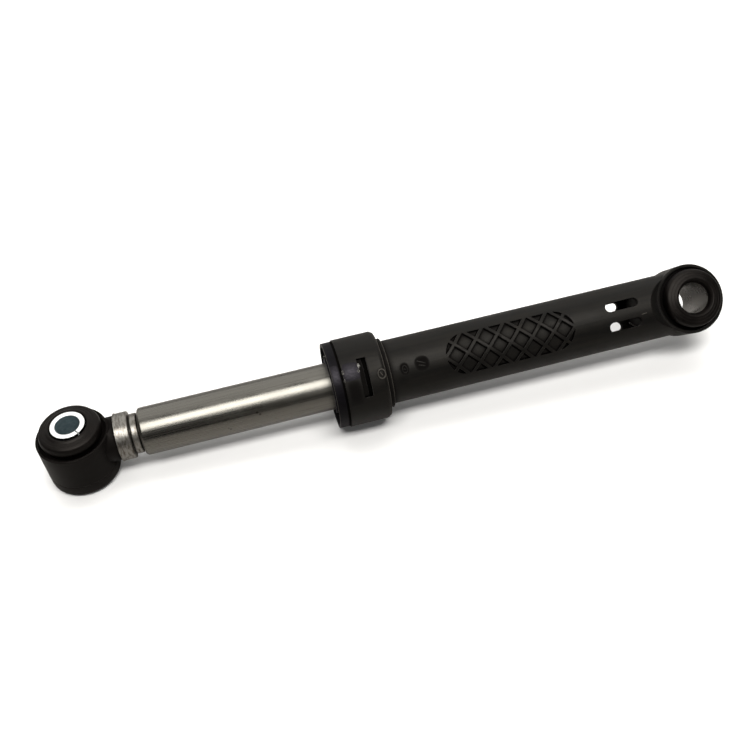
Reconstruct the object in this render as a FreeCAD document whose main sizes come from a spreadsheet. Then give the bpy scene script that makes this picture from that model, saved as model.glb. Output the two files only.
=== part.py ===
"""Friction shock absorber of a washing machine, laid flat with its rod partly drawn out.

A steel rod tube slides in a moulded plastic barrel.  A grease-soaked lining in the barrel's bell mouth
grips the tube, a snap-in cartridge holds the lining, and rubber bushes in two eyes take the bolts.

Frame: +X runs along the damper towards the barrel eye, +Z is up, and the origin is the centre of the
barrel eye's bore.  The rod pieces are modelled from the rod eye with their x towards the barrel, and the
barrel pieces from the barrel eye with their x towards the mouth and their z along that eye's bore.
"""
import FreeCAD, Part
import os
import re

import Sketcher
from FreeCAD import Placement, Rotation, Vector

SIZES = [
    # Where the two halves lie
    ("rest_length", 266.5, "eye centre to eye centre, as it lies"),
    ("barrel_twist", 42.5, "degrees that the barrel eye's bore leans from the rod eye's, about the damper"),
    # Steel rod tube, from the rod eye's centre
    ("rod_od", 20.0, "drawn steel tube"),
    ("rod_wall", 1.0, "tube wall"),
    ("rod_start", 16.8, "eye centre to the tube's crimped end"),
    ("rod_length", 133.7, "whole tube"),
    ("band_length", 5.6, "plain band at the crimped end"),
    ("band_od", 19.8, "plain band"),
    ("band_flare", 0.3, "lip that the band's end is turned out by"),
    ("band_flare_length", 0.9, "run of that lip"),
    ("crimp_length", 4.2, "rolled crimp, band to full tube"),
    ("crimp_groove", 0.5, "floor of each rolled groove, along the tube"),
    ("crimp_floor_od", 14.8, "floor of the two rolled grooves"),
    ("crimp_ridge_od", 16.6, "ridge that is left between them"),
    ("crimp_slope", 0.4, "run of each groove side along the tube"),
    ("crimp_draw", 0.45, "how far the wall's inside follows wider than its outside"),
    ("shoulder_round", 0.5, "rounding where the full tube starts"),
    # Plastic rod eye with its neck and plug
    ("rod_eye_od", 29.3, "eye ring"),
    ("eye_width", 16.6, "both eyes, along the bolt"),
    ("eye_edge", 0.4, "rounded edges of both eyes"),
    ("bush_seat", 22.0, "bore of both eyes, where the bush sits"),
    ("seat_relief_od", 27.8, "recess round the bush flange"),
    ("seat_relief_depth", 2.2, "depth of that recess"),
    ("neck_od", 18.5, "neck between eye and tube"),
    ("neck_slope_od", 32.1, "cone round the eye where it leaves the neck"),
    ("plug_length", 30.0, "plug inside the tube"),
    ("plug_taper", 2.0, "lead-in at the plug's end"),
    ("plug_core", 9.0, "cored hole in the plug's end"),
    ("plug_core_depth", 16.0, "depth of that hole"),
    # Rubber bushes and the steel sleeve
    ("bush_length", 28.0, "over the hub and the foot"),
    ("bush_bore", 14.0, "hole in both bushes"),
    ("bush_throat_od", 23.2, "groove under the flange"),
    ("bush_throat_height", 3.3, "groove under the flange"),
    ("bush_flange_od", 25.2, "flange that shows on the eye"),
    ("bush_flange_height", 1.7, "straight side of the flange"),
    ("bush_shoulder", 1.9, "rounded shoulder of the flange"),
    ("bush_hub_od", 16.4, "top of the sloping hub"),
    ("bush_lip", 1.3, "depth of the broken lip where the hub meets the bore"),
    ("bush_foot_od", 29.2, "wide foot under the eye"),
    ("bush_foot_edge", 0.6, "rounded edge of the foot"),
    ("sleeve_bore", 10.0, "rolled steel sleeve for the bolt"),
    ("sleeve_length", 28.6, "rolled steel sleeve"),
    ("sleeve_slit", 0.7, "open joint of the rolled sleeve"),
    ("sleeve_slit_angle", 54.0, "degrees, joint's place round the sleeve"),
    # Moulded barrel, from the barrel eye's centre
    ("barrel_od", 27.2, "straight barrel"),
    ("barrel_wall", 2.2, "barrel wall"),
    ("cavity_floor", 22.0, "eye centre to the closed end of the bore"),
    ("barrel_eye_od", 30.2, "eye ring"),
    ("eye_relief_od", 40.4, "cone round the eye where it leaves the barrel"),
    ("bell_start", 138.0, "rear face of the bell mouth"),
    ("bell_length", 17.5, "bell mouth"),
    ("bell_od", 37.5, "bell mouth"),
    ("bell_wall", 2.0, "bell wall"),
    ("bell_floor", 2.0, "rear wall of the bell"),
    ("bell_round", 1.6, "rounded rear edge of the bell"),
    ("step_od", 29.6, "low ring behind the bell"),
    ("step_length", 2.0, "low ring behind the bell"),
    ("window_start", 144.8, "eye centre to the snap windows"),
    ("window_length", 3.8, "snap window along the barrel"),
    ("window_width", 16.2, "snap window round the bell"),
    ("slot_start", 25.2, "eye centre to the vent slots"),
    ("slot_length", 14.6, "vent slot"),
    ("slot_width", 3.8, "vent slot"),
    ("slot_offset", 4.3, "vent slot from the barrel's middle"),
    # Diamond grip moulded into both sides of the barrel
    ("grip_centre", 83.1, "eye centre to the middle of the grip"),
    ("grip_length", 56.4, "grip panel along the barrel"),
    ("grip_width", 16.9, "grip panel across the barrel"),
    ("grip_depth", 0.8, "pockets between the ribs"),
    ("grip_rib", 1.2, "rib width"),
    ("grip_pitch", 9.45, "rib to rib along the barrel"),
    # Mould date inserts on the barrel
    ("insert_od", 3.4, "round insert mark"),
    ("insert_depth", 0.25, "round insert mark"),
    ("insert_first", 122.2, "eye centre to the nearer mark"),
    ("insert_gap", 7.8, "between the two marks"),
    # Snap-in cartridge, lining and backing ring in the bell
    ("cartridge_fit", 0.05, "cartridge in the bell, radial"),
    ("flange_od", 36.5, "cartridge's front ring"),
    ("flange_length", 4.6, "cartridge's front ring"),
    ("flange_wall", 1.3, "outer wall of the front ring"),
    ("shadow_gap", 0.6, "width of the groove between front ring and bell"),
    ("shadow_gap_depth", 0.8, "depth of that groove"),
    ("flange_recess", 3.7, "hollow in the front ring"),
    ("hub_wall", 1.6, "guide hub round the rod"),
    ("front_wall", 2.6, "wall between the hollow and the lining"),
    ("rod_fit", 0.08, "guide hub on the rod, radial"),
    ("lug_length", 2.0, "snap lug along the barrel"),
    ("lug_height", 1.3, "snap lug above the cartridge"),
    ("lug_angle", 48.0, "degrees that a snap lug spans"),
    ("lug_gap", 0.1, "snap lug to the window's front edge"),
    ("lug_relief", 2.4, "depth of the slit behind a lug, which lets it give"),
    ("lining_thickness", 3.4, "grease-soaked foam"),
    ("lining_fit", 0.05, "lining on the rod, radial"),
    ("backing_thickness", 2.0, "washer behind the lining"),
    ("backing_clearance", 0.35, "washer round the rod, radial"),
    # Piston head and its guide ring on the rod's inner end
    ("piston_length", 12.0, "head beyond the tube"),
    ("piston_clearance", 0.4, "head in the barrel, radial"),
    ("piston_lip", 1.4, "lip each side of the guide ring"),
    ("piston_plug", 15.0, "plug inside the tube"),
    ("guide_thickness", 1.5, "split plastic guide ring"),
    ("guide_fit", 0.08, "guide ring in the barrel and on the head, radial"),
    ("guide_end_gap", 0.15, "guide ring between the lips, each side"),
    ("guide_split", 1.2, "open joint of the guide ring"),
]

doc = FreeCAD.newDocument("shock_absorber")
sheet = doc.addObject("Spreadsheet::Sheet", "Sizes")
for row, (alias, value, meaning) in enumerate(SIZES, start=1):
    sheet.set(f"A{row}", str(value))
    sheet.setAlias(f"A{row}", alias)
    sheet.set(f"B{row}", meaning)
doc.recompute()
ALIASES = {alias for alias, value, meaning in SIZES}


def cell(text):
    """Write a sum of named sizes, such as rod_od / 2, as an expression on the sheet."""
    def named(word):
        return "Sizes." + word.group() if word.group() in ALIASES else word.group()
    return re.sub(r"[a-z][a-z_]*", named, text)


def size(text):
    """Give the present value of a sum of named sizes."""
    return float(sheet.evalExpression(cell(text)))


def new_body(name):
    """Add a body for one physical piece."""
    body = doc.addObject("PartDesign::Body", name)
    body.Label = name
    return body


def origin_part(body, role):
    """Find one of the body's own planes or axes."""
    return next(item for item in body.Origin.OriginFeatures if item.Role == role)


def new_sketch(body, name, plane="XZ_Plane"):
    """Add a sketch on one of the body's own planes."""
    sketch = body.newObject("Sketcher::SketchObject", name)
    sketch.AttachmentSupport = (origin_part(body, plane), [""])
    sketch.MapMode = "FlatFace"
    return sketch


def hold(sketch, kind, geometry, point, text):
    """Tie one coordinate of a point to the sheet, or to the sketch's axis where it is nought."""
    if text == "0":
        axis = -2 if kind == "DistanceX" else -1
        sketch.addConstraint(Sketcher.Constraint("PointOnObject", geometry, point, axis))
        return
    rule = sketch.addConstraint(Sketcher.Constraint(kind, -1, 1, geometry, point, size(text)))
    sketch.setExpression(f"Constraints[{rule}]", cell(text))


def polygon(sketch, corners):
    """Draw a closed outline through corners, each given by two sums of named sizes."""
    points = [Vector(size(x), size(y), 0) for x, y in corners]
    first = sketch.GeometryCount
    count = len(points)
    for here, there in zip(points, points[1:] + points[:1]):
        sketch.addGeometry(Part.LineSegment(here, there), False)
    for i in range(count):
        following = first + (i + 1) % count
        sketch.addConstraint(Sketcher.Constraint("Coincident", first + i, 2, following, 1))
    for i, (x, y) in enumerate(corners):
        hold(sketch, "DistanceX", first + i, 1, x)
        hold(sketch, "DistanceY", first + i, 1, y)


def circle(sketch, x, y, diameter):
    """Draw a circle at a place given by sums of named sizes."""
    place = Vector(size(x), size(y), 0)
    ring = sketch.addGeometry(Part.Circle(place, Vector(0, 0, 1), size(diameter) / 2), False)
    hold(sketch, "DistanceX", ring, 3, x)
    hold(sketch, "DistanceY", ring, 3, y)
    rule = sketch.addConstraint(Sketcher.Constraint("Diameter", ring, size(diameter)))
    sketch.setExpression(f"Constraints[{rule}]", cell(diameter))


def turned(body, name, corners, axis="H_Axis", plane="XZ_Plane", kind="PartDesign::Revolution"):
    """Turn a closed outline about one axis of its sketch, as an added or a cut feature."""
    sketch = new_sketch(body, name + "_outline", plane)
    polygon(sketch, corners)
    feature = body.newObject(kind, name)
    feature.Profile = sketch
    feature.ReferenceAxis = (sketch, [axis])
    feature.Angle = 360
    return feature


def extruded(body, name, sketch, length, kind="PartDesign::Pad"):
    """Extrude a sketch by a sum of named sizes, half to each side of its plane."""
    feature = body.newObject(kind, name)
    feature.Profile = sketch
    feature.SideType = "Symmetric"
    feature.setExpression("Length", cell(length))
    return feature


def mirrored(body, name, feature, plane="XY_Plane"):
    """Repeat a feature on the other side of one of the body's planes."""
    mirror = body.newObject("PartDesign::Mirrored", name)
    mirror.Originals = [feature]
    mirror.MirrorPlane = (origin_part(body, plane), [""])
    body.Tip = mirror
    return mirror


def rounded(body, name, feature, radius, along, diameter):
    """Round the circular edge of a turned feature at one place along x."""
    doc.recompute()
    wanted = []
    for number, edge in enumerate(feature.Shape.Edges, start=1):
        if isinstance(edge.Curve, Part.Circle):
            offset = abs(edge.Curve.Center.x - size(along))
            if max(offset, abs(edge.Curve.Radius - size(diameter) / 2)) < 1e-4:
                wanted.append(f"Edge{number}")
    fillet = body.newObject("PartDesign::Fillet", name)
    fillet.Base = (feature, wanted)
    fillet.setExpression("Radius", cell(radius))
    return fillet


AXIS_X = Vector(1, 0, 0)
AXIS_Z = Vector(0, 0, 1)


def add_eye(body, eye_od, stem_od, slope_od):
    """Clear the end of a stem and put an eye ring there, recessed round its bore on both faces.

    The stem is cut away above the eye's faces, along a cone that runs out on the stem at slope_od.
    """
    face = "eye_width / 2"
    floor = f"{face} - seat_relief_depth"
    clear = turned(body, "face_clearance", [
        ("0", floor),
        ("seat_relief_od / 2", floor),
        ("seat_relief_od / 2", face),
        (f"{eye_od} / 2", face),
        (f"{slope_od} / 2", f"{stem_od} / 2"),
        (f"{slope_od} / 2", stem_od),
        ("0", stem_od),
    ], "V_Axis", kind="PartDesign::Groove")
    mirrored(body, "far_face_clearance", clear)
    seat = new_sketch(body, "bush_seat_circle", "XY_Plane")
    circle(seat, "0", "0", "bush_seat")
    extruded(body, "bush_seat_hole", seat, f"2 * {stem_od}", "PartDesign::Pocket")
    half = turned(body, "half_ring", [
        ("bush_seat / 2", "0"),
        (f"{eye_od} / 2", "0"),
        (f"{eye_od} / 2", f"{face} - eye_edge"),
        (f"{eye_od} / 2 - 0.3 * eye_edge", f"{face} - 0.3 * eye_edge"),
        (f"{eye_od} / 2 - eye_edge", face),
        ("seat_relief_od / 2", face),
        ("seat_relief_od / 2", floor),
        ("bush_seat / 2", floor),
    ], "V_Axis")
    mirrored(body, "ring", half)


def crimp_line(outer):
    """List the crimped end's corners along the tube, on its outside or on its inside."""
    thin = "" if outer else " - rod_wall"
    wide = "0" if outer else "crimp_draw"
    band_end = "rod_start + band_length"
    full = f"{band_end} + crimp_length"
    floor = f"crimp_floor_od / 2{thin}"
    ridge = f"crimp_ridge_od / 2{thin}"
    return [
        (f"{band_end} - {wide}", f"band_od / 2{thin}"),
        (f"{band_end} + crimp_slope - {wide}", floor),
        (f"{band_end} + crimp_slope + crimp_groove", floor),
        (f"{band_end} + 2 * crimp_slope + crimp_groove", ridge),
        (f"{full} - 2 * crimp_slope - crimp_groove", ridge),
        (f"{full} - crimp_slope - crimp_groove", floor),
        (f"{full} - crimp_slope + {wide}", floor),
        (f"{full} + {wide}", f"rod_od / 2 - shoulder_round{thin}"),
        (f"{full} + {wide} + shoulder_round", f"rod_od / 2{thin}"),
    ]


def make_rod_tube():
    """Drawn steel tube, crimped over the eye's plug by two rolled grooves."""
    body = new_body("rod_tube")
    outside = [
        ("rod_start", "band_od / 2 + band_flare"),
        ("rod_start + band_flare_length", "band_od / 2"),
    ] + crimp_line(True) + [("rod_start + rod_length", "rod_od / 2")]
    inside = [("rod_start", "band_od / 2 - rod_wall")] + crimp_line(False)
    inside += [("rod_start + rod_length", "rod_od / 2 - rod_wall")]
    turned(body, "tube", outside + inside[::-1])
    return body


def make_rod_eye():
    """Moulded eye with a neck and a plug that the tube is crimped on."""
    body = new_body("rod_eye")
    end = "rod_start + plug_length"
    bore = "rod_od / 2 - rod_wall"
    turned(body, "neck_and_plug", [
        ("0", "0"),
        ("0", "neck_od / 2"),
        ("rod_start", "neck_od / 2"),
        ("rod_start", "band_od / 2 - rod_wall"),
    ] + crimp_line(False) + [
        (f"{end} - plug_taper", bore),
        (end, f"{bore} - plug_taper / 2"),
        (end, "plug_core / 2"),
        (f"{end} - plug_core_depth", "plug_core / 2"),
        (f"{end} - plug_core_depth - plug_taper", "0"),
    ])
    add_eye(body, "rod_eye_od", "neck_od", "neck_slope_od")
    return body


def make_bush(name):
    """Rubber bush: a wide foot under the eye, a waist in it, and a flange with a sloping hub above it."""
    body = new_body(name)
    face = "eye_width / 2"
    floor = f"{face} - seat_relief_depth"
    under = f"{floor} + bush_throat_height"
    side = f"{under} + bush_flange_height"
    foot = "bush_foot_od / 2"
    flange = "bush_flange_od / 2"
    base = "-bush_length / 2"
    turned(body, "spool", [
        ("bush_bore / 2", base),
        (f"{foot} - bush_foot_edge", base),
        (f"{foot} - 0.3 * bush_foot_edge", f"{base} + 0.3 * bush_foot_edge"),
        (foot, f"{base} + bush_foot_edge"),
        (foot, f"-{face}"),
        ("seat_relief_od / 2", f"-{face}"),
        ("seat_relief_od / 2", f"-({floor})"),
        ("bush_seat / 2", f"-({floor})"),
        ("bush_seat / 2", floor),
        ("bush_throat_od / 2", floor),
        ("bush_throat_od / 2", under),
        (flange, under),
        (flange, side),
        (f"{flange} - 0.12 * bush_shoulder", f"{side} + 0.38 * bush_shoulder"),
        (f"{flange} - 0.4 * bush_shoulder", f"{side} + 0.72 * bush_shoulder"),
        (f"{flange} - bush_shoulder", f"{side} + bush_shoulder"),
        ("bush_hub_od / 2", "bush_length / 2"),
        ("0.35 * bush_hub_od / 2 + 0.65 * bush_bore / 2", "bush_length / 2 - 0.35 * bush_lip"),
        ("bush_bore / 2", "bush_length / 2 - bush_lip"),
    ], "V_Axis")
    return body


def make_sleeve():
    """Zinc-plated sleeve rolled from strip, with its open joint."""
    body = new_body("rod_eye_sleeve")
    ring = new_sketch(body, "sleeve_rings", "XY_Plane")
    circle(ring, "0", "0", "bush_bore")
    circle(ring, "0", "0", "sleeve_bore")
    extruded(body, "sleeve", ring, "sleeve_length")
    joint = new_sketch(body, "joint_outline", "XY_Plane")
    joint.AttachmentOffset = Placement(Vector(), Rotation(-AXIS_Z, size("sleeve_slit_angle")))
    polygon(joint, [
        ("0", "sleeve_slit / 2"),
        ("bush_bore", "sleeve_slit / 2"),
        ("bush_bore", "-sleeve_slit / 2"),
        ("0", "-sleeve_slit / 2"),
    ])
    extruded(body, "joint", joint, "2 * sleeve_length", "PartDesign::Pocket")
    return body


def stadium(sketch, start, end, across, width):
    """Draw a round-ended slot between two ends along x, at one place across."""
    left = Vector(size(f"{start} + {width} / 2"), size(across), 0)
    right = Vector(size(f"{end} - {width} / 2"), size(across), 0)
    radius = size(width) / 2
    up = Vector(0, radius, 0)
    back = Vector(radius, 0, 0)
    near = sketch.addGeometry(Part.Arc(left + up, left - back, left - up), False)
    under = sketch.addGeometry(Part.LineSegment(left - up, right - up), False)
    far = sketch.addGeometry(Part.Arc(right - up, right + back, right + up), False)
    over = sketch.addGeometry(Part.LineSegment(right + up, left + up), False)
    for arc, line, arc_point, line_point in (
        (near, under, 2, 1), (far, under, 1, 2), (far, over, 2, 1), (near, over, 1, 2),
    ):
        sketch.addConstraint(Sketcher.Constraint("Tangent", arc, arc_point, line, line_point))
    sketch.addConstraint(Sketcher.Constraint("Equal", near, far))
    rule = sketch.addConstraint(Sketcher.Constraint("Radius", near, radius))
    sketch.setExpression(f"Constraints[{rule}]", cell(f"{width} / 2"))
    hold(sketch, "DistanceX", near, 3, f"{start} + {width} / 2")
    hold(sketch, "DistanceX", far, 3, f"{end} - {width} / 2")
    hold(sketch, "DistanceY", near, 3, across)
    hold(sketch, "DistanceY", far, 3, across)


def make_barrel_moulding():
    """Barrel with its bell mouth, closed end and eye, before the grip is sunk into it."""
    body = new_body("barrel_moulding")
    bore = "barrel_od / 2 - barrel_wall"
    mouth = "bell_start + bell_length"
    shell = turned(body, "shell", [
        ("0", "0"),
        ("0", "barrel_od / 2"),
        ("bell_start - step_length", "barrel_od / 2"),
        ("bell_start - step_length", "step_od / 2"),
        ("bell_start", "step_od / 2"),
        ("bell_start", "bell_od / 2"),
        (mouth, "bell_od / 2"),
        (mouth, "bell_od / 2 - bell_wall"),
        ("bell_start + bell_floor", "bell_od / 2 - bell_wall"),
        ("bell_start + bell_floor", bore),
        ("cavity_floor", bore),
        ("cavity_floor", "0"),
    ])
    body.Tip = rounded(body, "bell_edge", shell, "bell_round", "bell_start", "bell_od")
    add_eye(body, "barrel_eye_od", "barrel_od", "eye_relief_od")
    vents = new_sketch(body, "vent_outlines", "XY_Plane")
    for across in ("slot_offset", "-slot_offset"):
        stadium(vents, "slot_start", "slot_start + slot_length", across, "slot_width")
    extruded(body, "vent_slots", vents, "2 * barrel_od", "PartDesign::Pocket")
    openings = new_sketch(body, "window_outline", "XY_Plane")
    polygon(openings, [
        ("window_start", "window_width / 2"),
        ("window_start + window_length", "window_width / 2"),
        ("window_start + window_length", "-window_width / 2"),
        ("window_start", "-window_width / 2"),
    ])
    extruded(body, "snap_windows", openings, "2 * bell_od", "PartDesign::Pocket")
    return body


def cylinder(name, diameter, length, along_x=False):
    """Add a plain cylinder, upright or lying along x."""
    solid = doc.addObject("Part::Cylinder", name)
    solid.setExpression("Radius", cell(f"({diameter}) / 2"))
    solid.setExpression("Height", cell(length))
    if along_x:
        solid.Placement.Rotation = Rotation(Vector(0, 1, 0), 90)
    return solid


def combined(kind, name, *solids):
    """Cut, join or intersect solids, in the order given."""
    result = doc.addObject(kind, name)
    if kind == "Part::MultiFuse":
        result.Shapes = list(solids)
    else:
        result.Base, result.Tool = solids
    return result


def make_grip():
    """Pockets of the diamond grip, on both sides: a thin skin inside a round-ended outline, less its ribs."""
    skin = combined("Part::Cut", "grip_skin",
                    cylinder("grip_outside", "barrel_od + grip_depth", "grip_centre + grip_length", True),
                    cylinder("grip_floor", "barrel_od - 2 * grip_depth", "grip_centre + grip_length", True))
    middle = doc.addObject("Part::Box", "grip_middle")
    middle.setExpression("Length", cell("grip_length - grip_width"))
    middle.setExpression("Width", cell("grip_width"))
    middle.setExpression("Height", cell("2 * barrel_od"))
    middle.setExpression("Placement.Base.x", cell("grip_centre - (grip_length - grip_width) / 2"))
    middle.setExpression("Placement.Base.y", cell("-grip_width / 2"))
    middle.setExpression("Placement.Base.z", cell("-barrel_od"))
    ends = []
    for side, sign in (("near", "-"), ("far", "+")):
        end = cylinder(f"grip_{side}_end", "grip_width", "2 * barrel_od")
        end.setExpression("Placement.Base.x", cell(f"grip_centre {sign} (grip_length - grip_width) / 2"))
        end.setExpression("Placement.Base.z", cell("-barrel_od"))
        ends.append(end)
    outline = combined("Part::MultiFuse", "grip_outline", middle, *ends)
    panel = combined("Part::Common", "grip_panel", skin, outline)
    ribs = []
    steps = int(size("(grip_length + grip_width) / (2 * grip_pitch)"))
    for lean in (45, -45):
        for step in range(-steps, steps + 1):
            rib = doc.addObject("Part::Box", f"grip_rib_{lean}_{step}")
            rib.setExpression("Length", cell("2 * grip_width"))
            rib.setExpression("Width", cell("grip_rib"))
            rib.setExpression("Height", cell("2 * barrel_od"))
            rib.Placement.Rotation = Rotation(AXIS_Z, lean)
            along = f"grip_centre + {step} * grip_pitch - grip_width * cos({lean} deg)"
            rib.setExpression("Placement.Base.x", cell(f"{along} + grip_rib / 2 * sin({lean} deg)"))
            across = f"-grip_width * sin({lean} deg) - grip_rib / 2 * cos({lean} deg)"
            rib.setExpression("Placement.Base.y", cell(across))
            rib.setExpression("Placement.Base.z", cell("-barrel_od"))
            ribs.append(rib)
    lattice = combined("Part::MultiFuse", "grip_lattice", *ribs)
    return combined("Part::Cut", "grip_pockets", panel, lattice)


def make_barrel():
    """The barrel as moulded: the diamond grip on both sides and two round insert marks."""
    gripped = combined("Part::Cut", "barrel_with_grip", make_barrel_moulding(), make_grip())
    marks = []
    for step in range(2):
        mark = cylinder(f"insert_mark_{step}", "insert_od", "barrel_od")
        mark.setExpression("Placement.Base.x", cell(f"insert_first + {step} * insert_gap"))
        mark.setExpression("Placement.Base.z", cell("barrel_od / 2 - insert_depth"))
        marks.append(mark)
    barrel = combined("Part::Cut", "barrel", gripped, combined("Part::MultiFuse", "insert_marks", *marks))
    barrel.Label = "barrel"
    return barrel


def make_cartridge():
    """Snap-in cartridge: hollow front ring, guide hub, lining pocket and two snap lugs."""
    body = new_body("guide_cartridge")
    mouth = "bell_start + bell_length"
    front = f"{mouth} + flange_length"
    rear = "bell_start + bell_floor + backing_thickness"
    outer = "bell_od / 2 - bell_wall - cartridge_fit"
    guide = "rod_od / 2 + rod_fit"
    pocket = "rod_od / 2 + lining_fit + lining_thickness"
    turned(body, "shell", [
        (rear, outer),
        (mouth, outer),
        (mouth, "flange_od / 2 - shadow_gap_depth"),
        (f"{mouth} + shadow_gap", "flange_od / 2 - shadow_gap_depth"),
        (f"{mouth} + shadow_gap", "flange_od / 2"),
        (front, "flange_od / 2"),
        (front, "flange_od / 2 - flange_wall"),
        (f"{front} - flange_recess", "flange_od / 2 - flange_wall"),
        (f"{front} - flange_recess", f"{guide} + hub_wall"),
        (front, f"{guide} + hub_wall"),
        (front, guide),
        (f"{front} - flange_recess - front_wall", guide),
        (f"{front} - flange_recess - front_wall", pocket),
        (rear, pocket),
    ])
    lug_front = "window_start + window_length - lug_gap"
    lug = turned(body, "lug", [
        (f"{lug_front} - lug_length", f"{outer} - lug_height"),
        (f"{lug_front} - lug_length", f"{outer} + 0.5 * lug_height"),
        (f"{lug_front} - 0.4 * lug_length", f"{outer} + lug_height"),
        (lug_front, f"{outer} + lug_height"),
        (lug_front, f"{outer} - lug_height"),
    ])
    lug.Midplane = True
    lug.setExpression("Angle", cell("lug_angle"))
    mirrored(body, "far_lug", lug)
    slit = turned(body, "lug_slit", [
        ("window_start", f"{outer} - lug_relief"),
        ("window_start", f"{outer} + lug_height"),
        (f"{lug_front} - lug_length", f"{outer} + lug_height"),
        (f"{lug_front} - lug_length", f"{outer} - lug_relief"),
    ], kind="PartDesign::Groove")
    slit.Midplane = True
    slit.setExpression("Angle", cell("lug_angle"))
    mirrored(body, "far_lug_slit", slit)
    return body


def make_lining():
    """Friction lining: a ring of grease-soaked foam that grips the rod."""
    body = new_body("friction_lining")
    rear = "bell_start + bell_floor + backing_thickness"
    front = "bell_start + bell_length + flange_length - flange_recess - front_wall"
    inner = "rod_od / 2 + lining_fit"
    turned(body, "ring", [
        (rear, inner),
        (rear, f"{inner} + lining_thickness"),
        (front, f"{inner} + lining_thickness"),
        (front, inner),
    ])
    return body


def make_backing_ring():
    """Plastic washer that backs the lining against the bell's rear wall."""
    body = new_body("backing_ring")
    rear = "bell_start + bell_floor"
    inner = "rod_od / 2 + backing_clearance"
    outer = "bell_od / 2 - bell_wall - cartridge_fit"
    turned(body, "washer", [
        (rear, inner),
        (rear, outer),
        (f"{rear} + backing_thickness", outer),
        (f"{rear} + backing_thickness", inner),
    ])
    return body


PISTON_START = "rod_start + rod_length"
BARREL_BORE = "barrel_od / 2 - barrel_wall"
GUIDE_SEAT = f"{BARREL_BORE} - 2 * guide_fit - guide_thickness"


def make_piston_head():
    """Moulded head pressed into the tube's inner end, with a seat for the guide ring."""
    body = new_body("piston_head")
    lip = f"{BARREL_BORE} - piston_clearance"
    bore = "rod_od / 2 - rod_wall"
    end = f"{PISTON_START} + piston_length"
    turned(body, "head", [
        (f"{PISTON_START} - piston_plug", "0"),
        (f"{PISTON_START} - piston_plug", f"{bore} - plug_taper / 2"),
        (f"{PISTON_START} - piston_plug + plug_taper", bore),
        (PISTON_START, bore),
        (PISTON_START, lip),
        (f"{PISTON_START} + piston_lip", lip),
        (f"{PISTON_START} + piston_lip", GUIDE_SEAT),
        (f"{end} - piston_lip", GUIDE_SEAT),
        (f"{end} - piston_lip", lip),
        (end, lip),
        (end, "plug_core / 2"),
        (f"{PISTON_START} - piston_plug / 2", "plug_core / 2"),
        (f"{PISTON_START} - piston_plug / 2", "0"),
    ])
    return body


def make_guide_ring():
    """Split plastic ring that rides on the head and guides it in the barrel."""
    body = new_body("guide_ring")
    start = f"{PISTON_START} + piston_lip + guide_end_gap"
    end = f"{PISTON_START} + piston_length - piston_lip - guide_end_gap"
    inner = f"{GUIDE_SEAT} + guide_fit"
    turned(body, "ring", [
        (start, inner),
        (start, f"{inner} + guide_thickness"),
        (end, f"{inner} + guide_thickness"),
        (end, inner),
    ])
    joint = new_sketch(body, "joint_outline", "XZ_Plane")
    polygon(joint, [
        (f"{PISTON_START}", "0"),
        (f"{PISTON_START} + piston_length", "0"),
        (f"{PISTON_START} + piston_length", "barrel_od"),
        (f"{PISTON_START}", "barrel_od"),
    ])
    extruded(body, "joint", joint, "guide_split", "PartDesign::Pocket")
    return body


rod_pieces = [
    make_rod_tube(),
    make_rod_eye(),
    make_bush("rod_eye_bush"),
    make_sleeve(),
    make_piston_head(),
    make_guide_ring(),
]
barrel_pieces = [
    make_barrel(),
    make_bush("barrel_eye_bush"),
    make_cartridge(),
    make_lining(),
    make_backing_ring(),
]
for piece in rod_pieces:
    piece.setExpression("Placement.Base.x", cell("-rest_length"))
for piece in barrel_pieces:
    piece.Placement.Rotation = Rotation(AXIS_X, size("barrel_twist")) * Rotation(AXIS_Z, 180)
doc.recompute()

for item in doc.Objects:
    if "Invalid" in item.State or "Error" in item.State:
        raise RuntimeError(f"{item.Label} failed: {item.State}")
    if item.TypeId in ("PartDesign::Pocket", "PartDesign::Groove"):
        if item.Shape.Volume >= item.BaseFeature.Shape.Volume - 1e-6:
            raise RuntimeError(f"{item.Label} cut nothing")
for piece in rod_pieces + barrel_pieces:
    if piece.Shape.isNull() or not piece.Shape.isValid() or len(piece.Shape.Solids) != 1:
        raise RuntimeError(f"{piece.Label} is not one sound solid")

os.makedirs("parts", exist_ok=True)
for piece in rod_pieces + barrel_pieces:
    piece.Shape.exportStep(f"parts/{piece.Label}.step")
    box = piece.Shape.BoundBox
    print(f"{piece.Label}: x {box.XMin:.2f} to {box.XMax:.2f}, volume {piece.Shape.Volume:.0f} cubic mm")
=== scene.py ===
"""Looks of a washing machine shock absorber: drawn steel, black glass-filled nylon, rubber and zinc plate."""

import math

import bpy
import numpy as np
from mathutils import Matrix, Vector


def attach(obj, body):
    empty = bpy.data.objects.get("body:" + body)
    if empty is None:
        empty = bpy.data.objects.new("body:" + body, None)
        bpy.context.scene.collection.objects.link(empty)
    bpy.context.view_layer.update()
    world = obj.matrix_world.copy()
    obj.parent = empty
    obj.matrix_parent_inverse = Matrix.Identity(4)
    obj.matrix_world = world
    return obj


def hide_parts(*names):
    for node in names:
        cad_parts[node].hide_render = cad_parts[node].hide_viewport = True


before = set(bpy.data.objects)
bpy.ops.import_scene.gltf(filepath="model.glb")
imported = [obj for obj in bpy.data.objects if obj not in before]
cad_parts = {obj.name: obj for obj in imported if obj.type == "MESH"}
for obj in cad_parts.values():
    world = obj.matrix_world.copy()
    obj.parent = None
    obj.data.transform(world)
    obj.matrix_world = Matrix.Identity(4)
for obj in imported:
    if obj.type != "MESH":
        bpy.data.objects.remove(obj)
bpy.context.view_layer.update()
MM = 0.001

# The rod eye's centre along the damper in millimetres, and how the barrel eye's bore leans
ROD_EYE_X = -266.5
BARREL_TWIST = math.radians(42.5)
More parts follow.
